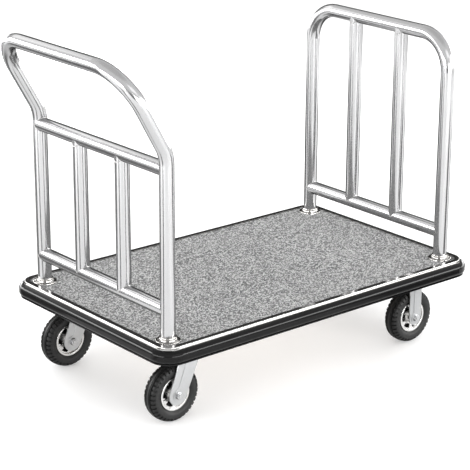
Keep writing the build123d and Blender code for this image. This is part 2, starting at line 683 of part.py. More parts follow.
def axle_bolt():
    """The axle bolt with its two washers and its nut."""
    face = LEG_OUTER + LEG_PAD_HEIGHT
    seat = face + AXLE_WASHER_THICKNESS
    nut_end = seat + AXLE_NUT_HEIGHT
    bolt = hexagon_between(AXLE_FLATS, seat, seat + AXLE_HEAD_HEIGHT)
    bolt += cylinder_between(AXLE_BOLT_R, -nut_end - THREAD_END, seat)
    nut = hexagon_between(AXLE_FLATS, -nut_end, -seat) - cylinder_between(AXLE_BOLT_R, -nut_end, -seat)
    hole = AXLE_BOLT_R + HOLE_CLEARANCE
    washers = [ring_between(AXLE_WASHER_R, hole, face, seat), ring_between(AXLE_WASHER_R, hole, -seat, -face)]
    return [along_y(piece) for piece in [bolt, nut] + washers]


def build_wheel(name, axle):
    """The wheel of one caster and the axle that it turns on."""
    save(f"{name}_tyre", axle * wheel_tyre())
    save(f"{name}_rim", *[axle * half for half in wheel_rim()])
    save(f"{name}_bearings", *[axle * bearing for bearing in wheel_bearings()])
    save(f"{name}_axle_sleeve", axle * axle_sleeve())
    save(f"{name}_axle_bolt", *[axle * piece for piece in axle_bolt()])


def build_casters():
    """Two swivel casters under the handle and two rigid casters under the hoop."""
    for side, sign in SIDES.items():
        spot = Pos(-CASTER_X, sign * CASTER_Y, CASTER_HEIGHT)
        name = f"swivel_{side}"
        save(f"{name}_plate", spot * swivel_plate())
        save(f"{name}_balls", *[spot * ball for ball in swivel_balls()])
        save(f"{name}_king_pin", *[spot * piece for piece in king_pin()])
        save(f"{name}_fork", spot * swivel_fork())
        build_wheel(name, spot * Pos(-TRAIL, 0, -AXLE_DROP))
    for side, sign in SIDES.items():
        spot = Pos(CASTER_X, sign * CASTER_Y, CASTER_HEIGHT)
        name = f"rigid_{side}"
        save(f"{name}_bracket", spot * rigid_bracket())
        build_wheel(name, spot * Pos(0, 0, -AXLE_DROP))


def build_fixings():
    """The caster bolts with their nuts inside the rails, and the screws up into the panel."""
    head_top = CASTER_HEIGHT - PLATE_THICKNESS
    nut_foot = CASTER_HEIGHT + RAIL_WALL
    nut_top = nut_foot + CASTER_NUT_HEIGHT
    bolt = hexagon_between(CASTER_BOLT_FLATS, head_top - CASTER_BOLT_HEAD_HEIGHT, head_top)
    bolt += cylinder_between(CASTER_BOLT_R, head_top, nut_top + THREAD_END)
    nut = hexagon_between(CASTER_BOLT_FLATS, nut_foot, nut_top)
    nut -= cylinder_between(CASTER_BOLT_R, nut_foot, nut_top)
    spots = [Pos(x, y, 0) for x, y in caster_bolt_places()]
    save("caster_bolts", *[spot * bolt for spot in spots])
    save("caster_nuts", *[spot * nut for spot in spots])
    reach = RAIL_HEIGHT + SCREW_BITE
    save("panel_screws", *[Pos(x, y, CASTER_HEIGHT) * screw(reach) for x, y in frame_fixings()])


build_frame()
build_panel()
build_carpet()
build_trim()
build_skirt()
build_bumper()
build_handle()
build_hoop()
build_post_feet()
build_casters()
build_fixings()
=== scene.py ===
import logging
from dataclasses import dataclass, replace
from enum import Enum
from math import atan2, ceil, cos, degrees, pi, radians, sin
from typing import Callable, Mapping, Sequence

import bpy
from bpy.types import Material, MeshPolygon, Node, NodeSocket, NodeTree, Object
from mathutils import Matrix, Quaternion, Vector


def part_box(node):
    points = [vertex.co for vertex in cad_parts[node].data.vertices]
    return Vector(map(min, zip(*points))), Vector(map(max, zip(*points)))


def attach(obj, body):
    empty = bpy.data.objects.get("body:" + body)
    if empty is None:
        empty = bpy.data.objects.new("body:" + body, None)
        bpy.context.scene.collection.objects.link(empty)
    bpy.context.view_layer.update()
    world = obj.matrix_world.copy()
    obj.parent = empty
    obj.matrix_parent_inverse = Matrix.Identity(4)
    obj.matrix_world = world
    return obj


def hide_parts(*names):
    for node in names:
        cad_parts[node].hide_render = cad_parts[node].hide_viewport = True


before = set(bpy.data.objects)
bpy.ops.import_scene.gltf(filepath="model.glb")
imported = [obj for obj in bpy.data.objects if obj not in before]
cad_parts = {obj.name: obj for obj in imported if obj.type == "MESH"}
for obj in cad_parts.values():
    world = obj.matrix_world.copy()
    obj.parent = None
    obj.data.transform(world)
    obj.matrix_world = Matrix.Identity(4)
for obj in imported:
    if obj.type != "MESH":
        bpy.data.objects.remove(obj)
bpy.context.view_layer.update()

# Platform luggage cart. Metres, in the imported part's own frame: +X from the push handle to the hoop, +Z up.
# The CAD nodes give every place; the tyres, carpet, post flanges and weld beads are modelled here.

MM = 0.001
SIDES = ("left", "right")
WHEELS = ("swivel_left", "swivel_right", "rigid_left", "rigid_right")
ENDS = ("handle", "hoop")
SMOOTH_ANGLE = radians(34)
MERGE_DISTANCE = 0.01 * MM
TUBE_RADIUS = 19 * MM
GRAIN_BLEND = 0.03  # half the height over which a bent tube's grain turns
STEEL_DUST = (0.55, 0.53, 0.5, 1.0)
RUBBER_DUST = (0.3, 0.28, 0.25, 1.0)
PAINT_DUST = (0.4, 0.38, 0.35, 1.0)
# Near-black painted shade for the inside of the rims' window recesses.
PAINTED_WINDOW_SHADE = (0.006, 0.006, 0.006, 1.0)
# Grey edge tint that dims the metal's reflection towards grazing angles: painted shade along the edges of the
# tubes and other steel parts.
PAINTED_EDGE_SHADE_TINT = (0.4, 0.4, 0.4, 1.0)
BLACK = (0.0, 0.0, 0.0, 1.0)
WHITE = (1.0, 1.0, 1.0, 1.0)

log = logging.getLogger("luggage_cart")
Point = tuple[float, float, float]
Colour = tuple[float, float, float]


# --- Modelling by hand: selection, outlines, modifiers ---
def clear_selection() -> None:
    """Leave edit mode and deselect every object."""
    if bpy.context.object and bpy.context.object.mode != "OBJECT":
        bpy.ops.object.mode_set(mode="OBJECT")
    bpy.ops.object.select_all(action="DESELECT")


def take(piece: Object) -> None:
    """Select one object alone and make it active."""
    clear_selection()
    piece.select_set(True)
    bpy.context.view_layer.objects.active = piece


def named(name: str) -> Object:
    """Name the object that an operator has just added."""
    piece = bpy.context.object
    piece.name = name
    piece.data.name = name
    return piece


def select_faces(piece: Object, test: Callable[[MeshPolygon], bool]) -> None:
    """Enter edit mode with only the faces that pass a test selected."""
    take(piece)
    mesh = piece.data
    mesh.vertices.foreach_set("select", [False] * len(mesh.vertices))
    mesh.edges.foreach_set("select", [False] * len(mesh.edges))
    mesh.polygons.foreach_set("select", [bool(test(polygon)) for polygon in mesh.polygons])
    bpy.ops.object.mode_set(mode="EDIT")
    bpy.ops.mesh.select_mode(type="FACE")


def apply_modifier(piece: Object, kind: str, **settings: object) -> None:
    """Add a modifier with its settings and apply it.

    Args:
        piece: The mesh object.
        kind: Blender's name for the modifier type.
        settings: Values for the modifier's properties.
    """
    take(piece)
    modifier = piece.modifiers.new(kind.title(), kind)
    for key, value in settings.items():
        setattr(modifier, key, value)
    bpy.ops.object.modifier_apply(modifier=modifier.name)


def draw_outline(name: str, points: Sequence[Point], closed: bool = False) -> Object:
    """Draw a line of edges from point to point by extruding one corner of a plane.

    Args:
        name: The new object's name.
        points: The corners of the line.
        closed: Whether the last point is joined back to the first.

    Returns:
        The new object, in object mode.
    """
    clear_selection()
    bpy.ops.mesh.primitive_plane_add(size=MM, location=(0, 0, 0))
    outline = named(name)
    bpy.ops.object.mode_set(mode="EDIT")
    bpy.ops.mesh.select_mode(type="VERT")
    bpy.ops.mesh.select_all(action="SELECT")
    bpy.ops.mesh.merge(type="CENTER")
    bpy.ops.transform.translate(value=points[0])
    for start, end in zip(points, points[1:]):
        step = Vector(end) - Vector(start)
        bpy.ops.mesh.extrude_region_move(TRANSFORM_OT_translate={"value": step})
    if closed:
        first = Vector(points[-1]) - Vector(points[0])
        bpy.ops.mesh.extrude_region_move(TRANSFORM_OT_translate={"value": -first})
    bpy.ops.object.mode_set(mode="OBJECT")
    return outline


def spin_outline(outline: Object, axis: Point, steps: int) -> None:
    """Turn an outline once round an axis through the origin, and close and orient the shell.

    Args:
        outline: The line to turn.
        axis: The axis that it turns round.
        steps: How many stations there are round the circle.
    """
    take(outline)
    bpy.ops.object.mode_set(mode="EDIT")
    bpy.ops.mesh.select_all(action="SELECT")
    bpy.ops.mesh.spin(steps=steps, angle=2 * pi, center=(0, 0, 0), axis=axis)
    bpy.ops.mesh.select_all(action="SELECT")
    bpy.ops.mesh.remove_doubles(threshold=MERGE_DISTANCE)
    bpy.ops.mesh.normals_make_consistent(inside=False)
    bpy.ops.object.mode_set(mode="OBJECT")


def smooth(piece: Object, angle: float = SMOOTH_ANGLE) -> None:
    """Shade a piece smooth except across edges sharper than an angle."""
    take(piece)
    bpy.ops.object.shade_smooth_by_angle(angle=angle)


def put(piece: Object, place: Vector) -> Object:
    """Move a piece and apply the move to its mesh, so that its object stays at the origin."""
    take(piece)
    piece.location = place
    bpy.ops.object.transform_apply(location=True, rotation=True, scale=True)
    return piece


def copy_of(piece: Object, name: str) -> Object:
    """Copy a modelled piece with a mesh of its own."""
    twin = piece.copy()
    twin.data = piece.data.copy()
    twin.name = name
    twin.data.name = name
    bpy.context.scene.collection.objects.link(twin)
    return twin


def dress(piece: Object, material: Material) -> None:
    """Give a piece its material."""
    piece.data.materials.clear()
    piece.data.materials.append(material)


def dress_nodes(material: Material, *nodes: str) -> None:
    """Give CAD nodes one material."""
    for node in nodes:
        dress(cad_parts[node], material)


def report(piece: Object) -> None:
    """Log one finished piece with its count of triangles."""
    piece.data.calc_loop_triangles()
    log.info("%s: %d triangles", piece.name, len(piece.data.loop_triangles))


def middle(node: str) -> Vector:
    """The middle of a CAD node's box."""
    low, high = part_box(node)
    return (low + high) / 2


# --- Building materials: nodes and shared effects ---
class Graph:
    """Adds and joins the nodes of one material or one node group."""

    def __init__(self, tree: NodeTree) -> None:
        """Start on an empty tree."""
        self.tree = tree
        self.tree.nodes.clear()

    def add(self, kind: str, inputs: dict | None = None, **settings: object) -> Node:
        """Add a node, set its properties and fill or link its inputs.

        Args:
            kind: The node's type without the ShaderNode prefix.
            inputs: Values or output sockets by input name or number.
            settings: Values for the node's own properties.

        Returns:
            The new node.
        """
        prefix = "" if kind.startswith("NodeGroup") else "ShaderNode"
        node = self.tree.nodes.new(prefix + kind)
        for key, value in settings.items():
            setattr(node, key, value)
        for key, value in (inputs or {}).items():
            self.feed(value, node.inputs[key])
        return node

    def feed(self, value: object, socket: NodeSocket) -> None:
        """Link an output to a socket, or set the socket's own value."""
        if isinstance(value, NodeSocket):
            self.tree.links.new(value, socket)
        else:
            socket.default_value = value

    def ramp(self, factor: NodeSocket, stops: Sequence[tuple[float, Colour]]) -> NodeSocket:
        """Turn a factor into a colour.

        Args:
            factor: The value that is looked up.
            stops: Places from 0 to 1 with their colours.

        Returns:
            The colour output.
        """
        node = self.add("ValToRGB", {"Fac": factor})
        elements = node.color_ramp.elements
        while len(elements) < len(stops):
            elements.new(0.5)
        for element, (place, colour) in zip(elements, stops):
            element.position = place
            element.color = (*colour, 1.0)
        return node.outputs["Color"]

    def remap(self, value: NodeSocket, low: float, high: float, to_low: float, to_high: float,
              soft: bool = False) -> NodeSocket:
        """Map a value from one span to another, clamped at its ends.

        Args:
            value: The value to map.
            low: Start of the span it comes from.
            high: End of the span it comes from.
            to_low: Start of the span it goes to.
            to_high: End of the span it goes to.
            soft: Whether the ends are eased.

        Returns:
            The mapped value.
        """
        spans = {"Value": value, "From Min": low, "From Max": high, "To Min": to_low, "To Max": to_high}
        node = self.add("MapRange", spans, interpolation_type="SMOOTHSTEP" if soft else "LINEAR")
        return node.outputs["Result"]

    def maths(self, operation: str, first: object, second: object = 0.0) -> NodeSocket:
        """One arithmetic step on values."""
        node = self.add("Math", operation=operation)
        self.feed(first, node.inputs[0])
        self.feed(second, node.inputs[1])
        return node.outputs["Value"]

    def plus(self, value: object, extra: object, share: float = 1.0) -> NodeSocket:
        """A value with a share of another one added."""
        return self.maths("ADD", value, self.maths("MULTIPLY", extra, share))

    def mix(self, factor: object, first: object, second: object) -> NodeSocket:
        """Mix two colours."""
        node = self.add("Mix", data_type="RGBA")
        self.feed(factor, node.inputs[0])
        self.feed(first, node.inputs[6])
        self.feed(second, node.inputs[7])
        return node.outputs[2]

    def noise(
        self, vector: NodeSocket, scale: float, detail: float = 3.0, roughness: float = 0.5
    ) -> NodeSocket:
        """Plain noise on a vector."""
        values = {"Vector": vector, "Scale": scale, "Detail": detail, "Roughness": roughness}
        return self.add("TexNoise", values).outputs["Fac"]

    def stretched(self, vector: NodeSocket, scale: Point) -> NodeSocket:
        """A vector scaled differently along each axis."""
        return self.add("Mapping", {"Vector": vector, "Scale": scale}).outputs["Vector"]

    def axis(self, vector: NodeSocket, name: str) -> NodeSocket:
        """One coordinate of a vector."""
        return self.add("SeparateXYZ", {"Vector": vector}).outputs[name]


class Effect(Enum):
    """The surface effects that several materials share."""

    GRAIN = "Polishing grain"
    SCUFFS = "Handling scuffs"
    DUST = "Floor dust"
    MOTTLE = "Colour mottle"


class Effects:
    """Builds each shared node group once."""

    def __init__(self) -> None:
        """Build every group."""
        builders = (self._grain, self._scuffs, self._dust, self._mottle)
        self.groups = {effect: build(effect.value) for effect, build in zip(Effect, builders)}

    @staticmethod
    def _new(name: str, inputs: dict[str, object], outputs: Sequence[str]) -> tuple[Graph, Node, Node]:
        """Start a group with named sockets.

        Args:
            name: The group's name.
            inputs: Input names with their default values; None stands for a vector.
            outputs: Names of the value outputs.

        Returns:
            The graph with its input and output nodes.
        """
        tree = bpy.data.node_groups.new(name, "ShaderNodeTree")
        for key, value in inputs.items():
            kind = "NodeSocketVector" if value is None else "NodeSocketFloat"
            socket = tree.interface.new_socket(key, in_out="INPUT", socket_type=kind)
            if value is not None:
                socket.default_value = value
        for key in outputs:
            tree.interface.new_socket(key, in_out="OUTPUT", socket_type="NodeSocketFloat")
        graph = Graph(tree)
        return graph, graph.add("NodeGroupInput"), graph.add("NodeGroupOutput")

    def _grain(self, name: str) -> NodeTree:
        """Fine lines left by a polishing belt, drawn out along the vector's long axis."""
        graph, given, made = self._new(name, {"Vector": None, "Fineness": 1.0}, ["Lines", "Height"])
        fine = self._scaled_noise(graph, given, 1.0, 2.0)
        broad = self._scaled_noise(graph, given, 0.23, 3.0)
        lines = graph.plus(graph.maths("MULTIPLY", fine, 0.6), broad, 0.4)
        graph.feed(graph.remap(lines, 0.3, 0.7, 0.0, 1.0), made.inputs["Lines"])
        graph.feed(fine, made.inputs["Height"])
        return graph.tree

    @staticmethod
    def _scaled_noise(graph: Graph, given: Node, share: float, detail: float) -> NodeSocket:
        """Noise at a share of the group's fineness."""
        scale = graph.maths("MULTIPLY", given.outputs["Fineness"], share)
        noise = graph.add("TexNoise", {"Vector": given.outputs["Vector"], "Scale": scale, "Detail": detail})
        return noise.outputs["Fac"]

    def _scuffs(self, name: str) -> NodeTree:
        """Thin crossed scratches that come in patches, and the smears between them."""
        inputs = {"Vector": None, "Scale": 40.0, "Amount": 0.5}
        graph, given, made = self._new(name, inputs, ["Scratches", "Smears"])
        place, scale, amount = (given.outputs[key] for key in inputs)
        wander = graph.add("TexNoise", {"Vector": place, "Scale": scale, "Detail": 2.0})
        bent = graph.add("VectorMath", {0: place}, operation="ADD")
        small = graph.add("VectorMath", {0: wander.outputs["Color"], "Scale": 0.02}, operation="SCALE")
        graph.feed(small.outputs["Vector"], bent.inputs[1])
        pattern = {"Vector": bent.outputs["Vector"], "Scale": scale}
        cells = graph.add("TexVoronoi", pattern, feature="DISTANCE_TO_EDGE")
        lines = graph.remap(cells.outputs["Distance"], 0.0, 0.02, 1.0, 0.0)
        patches = graph.remap(graph.noise(place, 9.0), 0.5, 0.72, 0.0, 1.0, soft=True)
        worn = graph.maths("MULTIPLY", graph.maths("MULTIPLY", lines, patches), amount)
        smears = graph.remap(graph.noise(place, 6.0, 6.0, 0.62), 0.35, 0.7, 0.0, 1.0, soft=True)
        graph.feed(worn, made.inputs["Scratches"])
        graph.feed(graph.maths("MULTIPLY", smears, amount), made.inputs["Smears"])
        return graph.tree

    def _dust(self, name: str) -> NodeTree:
        """Dust that settles on faces that look up, thicker in patches."""
        graph, given, made = self._new(name, {"Vector": None, "Amount": 0.3}, ["Dust"])
        up = graph.axis(graph.add("NewGeometry").outputs["Normal"], "Z")
        settled = graph.remap(up, 0.2, 0.95, 0.12, 1.0, soft=True)
        patches = graph.remap(graph.noise(given.outputs["Vector"], 22.0, 6.0, 0.65), 0.35, 0.75, 0.2, 1.0)
        amount = graph.maths("MULTIPLY", graph.maths("MULTIPLY", settled, patches), given.outputs["Amount"])
        graph.feed(amount, made.inputs["Dust"])
        return graph.tree

    def _mottle(self, name: str) -> NodeTree:
        """Slow and quick changes of tone over a surface."""
        graph, given, made = self._new(name, {"Vector": None, "Scale": 8.0}, ["Tone"])
        place, scale = given.outputs["Vector"], given.outputs["Scale"]
        slow = graph.add("TexNoise", {"Vector": place, "Scale": scale})
        quick_scale = graph.maths("MULTIPLY", scale, 7.0)
        quick = graph.add("TexNoise", {"Vector": place, "Scale": quick_scale, "Detail": 5.0})
        both = graph.plus(slow.outputs["Fac"], quick.outputs["Fac"], 0.5)
        graph.feed(graph.remap(both, 0.45, 1.05, 0.0, 1.0), made.inputs["Tone"])
        return graph.tree


class Skin(Graph):
    """The graph of one material, with its Principled shader and its object coordinates."""

    def __init__(self, name: str, effects: Effects | None = None) -> None:
        """Start a material.

        Args:
            name: The material's name.
            effects: The shared node groups, for a material that uses them.
        """
        self.material = bpy.data.materials.new(name)
        self.material.use_nodes = True
        super().__init__(self.material.node_tree)
        self.effects = effects
        self.shader = self.add("BsdfPrincipled")
        self.add("OutputMaterial", {"Surface": self.shader.outputs["BSDF"]})
        self.place = self.add("TexCoord").outputs["Object"]

    def about(self, centre: Vector) -> NodeSocket:
        """The object coordinates, measured from a point."""
        return self.add("Mapping", {"Vector": self.place, "Location": -centre}).outputs["Vector"]

    def effect(
        self, effect: Effect, vector: NodeSocket | None = None, **values: float
    ) -> Mapping[str, NodeSocket]:
        """Place a shared effect in the material.

        Args:
            effect: Which one.
            vector: What it is laid out on; None stands for the object coordinates.
            values: Its other inputs.

        Returns:
            Its outputs by name.
        """
        inputs = {"Vector": self.place if vector is None else vector, **values}
        return self.add("Group", inputs, node_tree=self.effects.groups[effect]).outputs

    def relief(self, height: NodeSocket, strength: float, depth: float, edge: float = 0.0) -> NodeSocket:
        """The normal of a bump, with the piece's sharp edges rounded if an edge radius is given."""
        bump = self.add("Bump", {"Height": height, "Strength": strength, "Distance": depth})
        if edge:
            rounded = self.add("Bevel", {"Radius": edge}, samples=6)
            self.feed(rounded.outputs["Normal"], bump.inputs["Normal"])
        return bump.outputs["Normal"]

    def finish(self, inputs: dict[str, object]) -> Material:
        """Fill the shader's inputs and hand over the material."""
        for key, value in inputs.items():
            self.feed(value, self.shader.inputs[key])
        return self.material


class Run(Enum):
    """Which way a tube's polishing grain runs, as the scale of its noise along X, Y and Z."""

    UPRIGHT = (900.0, 900.0, 9.0)
    ACROSS = (900.0, 9.0, 900.0)
    ALL_ROUND = (260.0, 260.0, 260.0)


@dataclass(frozen=True)
class Steel:
    """A bare or plated metal finish with polishing grain, scuffs and a little dust."""

    name: str
    colour: Colour
    low_roughness: float
    high_roughness: float
    run: Run = Run.ALL_ROUND
    top_run: Run | None = None
    top_from: float = 0.0
    bump: float = 0.05
    scuffs: float = 0.35
    dust: float = 0.1
    edge: float = 0.0
    painted_shade_reach: float = 0.0

    def material(self, effects: Effects, centre: Vector | None = None) -> Material:
        """Build the material.

        Args:
            effects: The shared node groups.
            centre: The middle of a wheel whose inside, near its middle plane, is painted near-black as shade
                in the rim's window recesses, or None.

        Returns:
            The finished material.
        """
        skin = Skin(self.name, effects)
        grain = skin.effect(Effect.GRAIN, skin.stretched(skin.place, self.run.value))
        lines, height = grain["Lines"], grain["Height"]
        if self.top_run:
            top = skin.effect(Effect.GRAIN, skin.stretched(skin.place, self.top_run.value))
            up = skin.axis(skin.place, "Z")
            low, high = self.top_from - GRAIN_BLEND, self.top_from + GRAIN_BLEND
            above = skin.remap(up, low, high, 0.0, 1.0, soft=True)
            lines = skin.mix(above, lines, top["Lines"])
            height = skin.mix(above, height, top["Height"])
        worn = skin.effect(Effect.SCUFFS, Scale=55.0, Amount=self.scuffs)
        dust = skin.effect(Effect.DUST, Amount=self.dust)["Dust"]
        spread = self.high_roughness - self.low_roughness
        rough = skin.plus(self.low_roughness, lines, spread * 0.6)
        for extra, share in ((worn["Smears"], spread), (worn["Scratches"], 0.12), (dust, 0.5)):
            rough = skin.plus(rough, extra, share)
        darker = tuple(channel * 0.93 for channel in self.colour)
        colour = skin.mix(dust, skin.ramp(lines, [(0.0, darker), (1.0, self.colour)]), STEEL_DUST)
        metal = skin.plus(1.0, dust, -0.8)
        # Painted shade: faces within a given distance of a wheel's middle plane turn near-black and lose
        # their metal, standing in for the dark window recesses.
        if centre is not None:
            distance = skin.maths("ABSOLUTE", skin.axis(skin.about(centre), "Y"))
            clear_of_painted_shade = skin.remap(distance, self.painted_shade_reach - 0.4 * MM, self.painted_shade_reach, 0.0, 1.0)
            colour = skin.mix(clear_of_painted_shade, PAINTED_WINDOW_SHADE, colour)
            metal = skin.maths("MULTIPLY", metal, clear_of_painted_shade)
        relief = skin.plus(height, worn["Scratches"], -0.8)
        return skin.finish({
            "Base Color": colour,
            "Roughness": rough,
            "Metallic": metal,
            "Normal": skin.relief(relief, self.bump, 0.2 * MM, self.edge),
            # The grey edge tint paints darker edges.
            "Specular Tint": PAINTED_EDGE_SHADE_TINT,
        })


@dataclass(frozen=True)
class Rubber:
    """Moulded or extruded black rubber with fine mould texture, a lighter sidewall on tyres, and dust."""

    name: str
    colour: Colour
    worn_colour: Colour
    low_roughness: float
    high_roughness: float
    dust: float
    bump: float
    gloss: float
    sidewall_inside: float = 0.0

    def material(self, effects: Effects, centre: Vector | None = None) -> Material:
        """Build the material.

        Args:
            effects: The shared node groups.
            centre: A wheel's middle, about which the sidewall is made lighter than the tread, or None.

        Returns:
            The finished material.
        """
        skin = Skin(self.name, effects)
        tone = skin.effect(Effect.MOTTLE, Scale=14.0)["Tone"]
        dust = skin.effect(Effect.DUST, Amount=self.dust)["Dust"]
        worn = skin.effect(Effect.SCUFFS, Scale=30.0, Amount=0.6)
        colour = skin.ramp(tone, [(0.0, self.colour), (1.0, self.worn_colour)])
        if centre is not None:
            around = skin.stretched(skin.about(centre), (1.0, 0.0, 1.0))
            radius = skin.add("VectorMath", {0: around}, operation="LENGTH").outputs["Value"]
            inside = self.sidewall_inside
            sidewall = skin.remap(radius, inside, inside + 3 * MM, 1.0, 0.0, soft=True)
            # The sidewall, inside a radius from the wheel's middle, is mixed towards a lighter tone than the
            # tread.
            lighter_sidewall_tone = tuple(channel * 1.9 for channel in self.worn_colour)
            colour = skin.mix(skin.maths("MULTIPLY", sidewall, 0.75), colour, (*lighter_sidewall_tone, 1.0))
        rough = skin.remap(tone, 0.0, 1.0, self.low_roughness, self.high_roughness)
        rough = skin.plus(rough, worn["Smears"], 0.06)
        rough = skin.plus(rough, dust, 0.6)
        relief = skin.plus(skin.noise(skin.place, 1400.0, 2.0), worn["Scratches"], -0.7)
        return skin.finish({
            "Base Color": skin.mix(dust, colour, RUBBER_DUST),
            "Roughness": rough,
            "Normal": skin.relief(relief, self.bump, 0.15 * MM),
            "Specular IOR Level": self.gloss,
        })


@dataclass(frozen=True)
class LoopCarpet:
    """Grey flecked loop pile: light, mid and dark yarns mixed loop by loop, with painted shade in the gaps
    between loops.
    """

    name: str = "Flecked loop carpet"
    loops_per_metre: float = 290.0
    dark: Colour = (0.02, 0.021, 0.022)
    grey: Colour = (0.14, 0.142, 0.145)
    pale: Colour = (0.64, 0.64, 0.635)
    faded: Colour = (0.33, 0.33, 0.32)

    def material(self, effects: Effects) -> Material:
        """Build the material.

        Args:
            effects: The shared node groups.

        Returns:
            The finished material.
        """
        skin = Skin(self.name, effects)
        pattern = {"Vector": skin.place, "Scale": self.loops_per_metre, "Randomness": 0.9}
        loops = skin.add("TexVoronoi", pattern).outputs
        yarn = skin.add("SeparateColor", {"Color": loops["Color"]}).outputs["Red"]
        strands = skin.noise(skin.place, 1300.0, 3.0, 0.6)
        pick = skin.plus(skin.maths("MULTIPLY", yarn, 0.8), strands, 0.2)
        stops = [(0.24, self.dark), (0.36, self.grey), (0.48, self.grey), (0.6, self.pale)]
        # Painted shade: each loop darkens towards the dark yarn's colour away from its middle, in the gaps
        # between loops.
        gaps = skin.remap(loops["Distance"], 0.25, 0.75, 1.0, 0.35, soft=True)
        painted_gap_shade = skin.maths("SUBTRACT", 1.0, gaps)
        colour = skin.mix(painted_gap_shade, skin.ramp(pick, stops), (*self.dark, 1.0))
        tone = skin.effect(Effect.MOTTLE, Scale=5.0)["Tone"]
        worn = skin.remap(tone, 0.0, 1.0, 0.0, 0.16)
        height = skin.plus(skin.remap(loops["Distance"], 0.0, 0.7, 1.0, 0.0), strands, 0.35)
        return skin.finish({
            "Base Color": skin.mix(worn, colour, (*self.faded, 1.0)),
            "Roughness": skin.remap(strands, 0.3, 0.7, 0.85, 1.0),
            "Normal": skin.relief(height, 0.9, 1.2 * MM),
            "Specular IOR Level": 0.15,
            "Sheen Weight": 0.25,
            "Sheen Roughness": 0.5,
        })


@dataclass(frozen=True)
class PowderCoat:
    """Black powder coat with orange peel and dust."""

    name: str = "Black powder coat"
    colour: Colour = (0.02, 0.02, 0.021)

    def material(self, effects: Effects) -> Material:
        """Build the material on the shared effects."""
        skin = Skin(self.name, effects)
        tone = skin.effect(Effect.MOTTLE, Scale=9.0)["Tone"]
        dust = skin.effect(Effect.DUST, Amount=0.25)["Dust"]
        lighter = tuple(channel * 1.8 for channel in self.colour)
        colour = skin.ramp(tone, [(0.0, self.colour), (1.0, lighter)])
        return skin.finish({
            "Base Color": skin.mix(dust, colour, PAINT_DUST),
            "Roughness": skin.remap(tone, 0.0, 1.0, 0.34, 0.52),
            "Normal": skin.relief(skin.noise(skin.place, 700.0, 2.0), 0.25, 0.2 * MM),
        })


@dataclass(frozen=True)
class Plywood:
    """Bare plywood: pale face grain along the cart and dark and light plies at its edge."""

    name: str = "Bare plywood"
    pale: Colour = (0.36, 0.3, 0.24)
    brown: Colour = (0.2, 0.155, 0.115)
    ply: float = 1.6 * MM

    def material(self, effects: Effects) -> Material:
        """Build the material.

        Args:
            effects: The shared node groups.

        Returns:
            The finished material.
        """
        skin = Skin(self.name, effects)
        figure = skin.noise(skin.stretched(skin.place, (1.4, 16.0, 16.0)), 6.0, 6.0, 0.6)
        fibres = skin.noise(skin.stretched(skin.place, (12.0, 420.0, 420.0)), 1.0, 2.0)
        grain = skin.plus(skin.maths("MULTIPLY", figure, 0.7), fibres, 0.3)
        face = skin.ramp(grain, [(0.35, self.brown), (0.52, self.pale), (0.75, self.pale)])
        plies = skin.maths("DIVIDE", skin.axis(skin.place, "Z"), 2 * self.ply)
        layered = skin.ramp(skin.maths("FRACT", plies), [(0.45, self.brown), (0.55, self.pale)])
        normal = skin.add("NewGeometry").outputs["Normal"]
        flat = skin.remap(skin.maths("ABSOLUTE", skin.axis(normal, "Z")), 0.4, 0.6, 0.0, 1.0)
        tone = skin.effect(Effect.MOTTLE, Scale=4.0)["Tone"]
        stain = skin.maths("MULTIPLY", tone, 0.2)
        return skin.finish({
            "Base Color": skin.mix(stain, skin.mix(flat, layered, face), (*self.brown, 1.0)),
            "Roughness": skin.remap(grain, 0.3, 0.7, 0.8, 0.6),
            "Normal": skin.relief(grain, 0.4, 0.3 * MM),
        })


STEEL = (0.48, 0.48, 0.485)
UPRIGHT_TUBE = Steel("Polished steel, upright tube", STEEL, 0.12, 0.2, Run.UPRIGHT, bump=0.04)
LEVEL_TUBE = Steel("Polished steel, level tube", STEEL, 0.12, 0.2, Run.ACROSS, bump=0.04)
TRIM_STEEL = Steel("Mirror steel trim", (0.46, 0.455, 0.445), 0.06, 0.13, bump=0.03, dust=0.05)
FLANGE_CHROME = Steel("Flange chrome", (0.46, 0.45, 0.435), 0.04, 0.09, bump=0.02, dust=0.05)
WELD_STEEL = Steel("Dressed weld", (0.36, 0.355, 0.35), 0.26, 0.4, bump=0.3)
ZINC = Steel("Bright zinc pressing", (0.46, 0.465, 0.47), 0.3, 0.45, bump=0.14, edge=0.7 * MM)
# The rim's plating gives way to painted near-black shade within 11 mm of its middle plane, inside the window
# recesses.
RIM_PLATE = Steel("Bright plated rim", (0.7, 0.695, 0.685), 0.14, 0.24, edge=0.4 * MM, painted_shade_reach=11 * MM)
FASTENER = Steel("Zinc fastener", (0.5, 0.505, 0.51), 0.2, 0.34, bump=0.1, edge=0.3 * MM)
GROUND_STEEL = Steel("Ground steel", (0.66, 0.66, 0.66), 0.2, 0.34, edge=0.2 * MM)
BUMPER_RUBBER = Rubber(
    "Gloss bumper rubber", (0.003, 0.003, 0.0031), (0.006, 0.006, 0.006), 0.05, 0.08,
    dust=0.0, bump=0.02, gloss=0.14,
)
TYRE_RUBBER = Rubber(
    "Tyre rubber", (0.005, 0.005, 0.0052), (0.01, 0.01, 0.01), 0.4, 0.54,
    dust=0.02, bump=0.3, gloss=0.22, sidewall_inside=64 * MM,
)


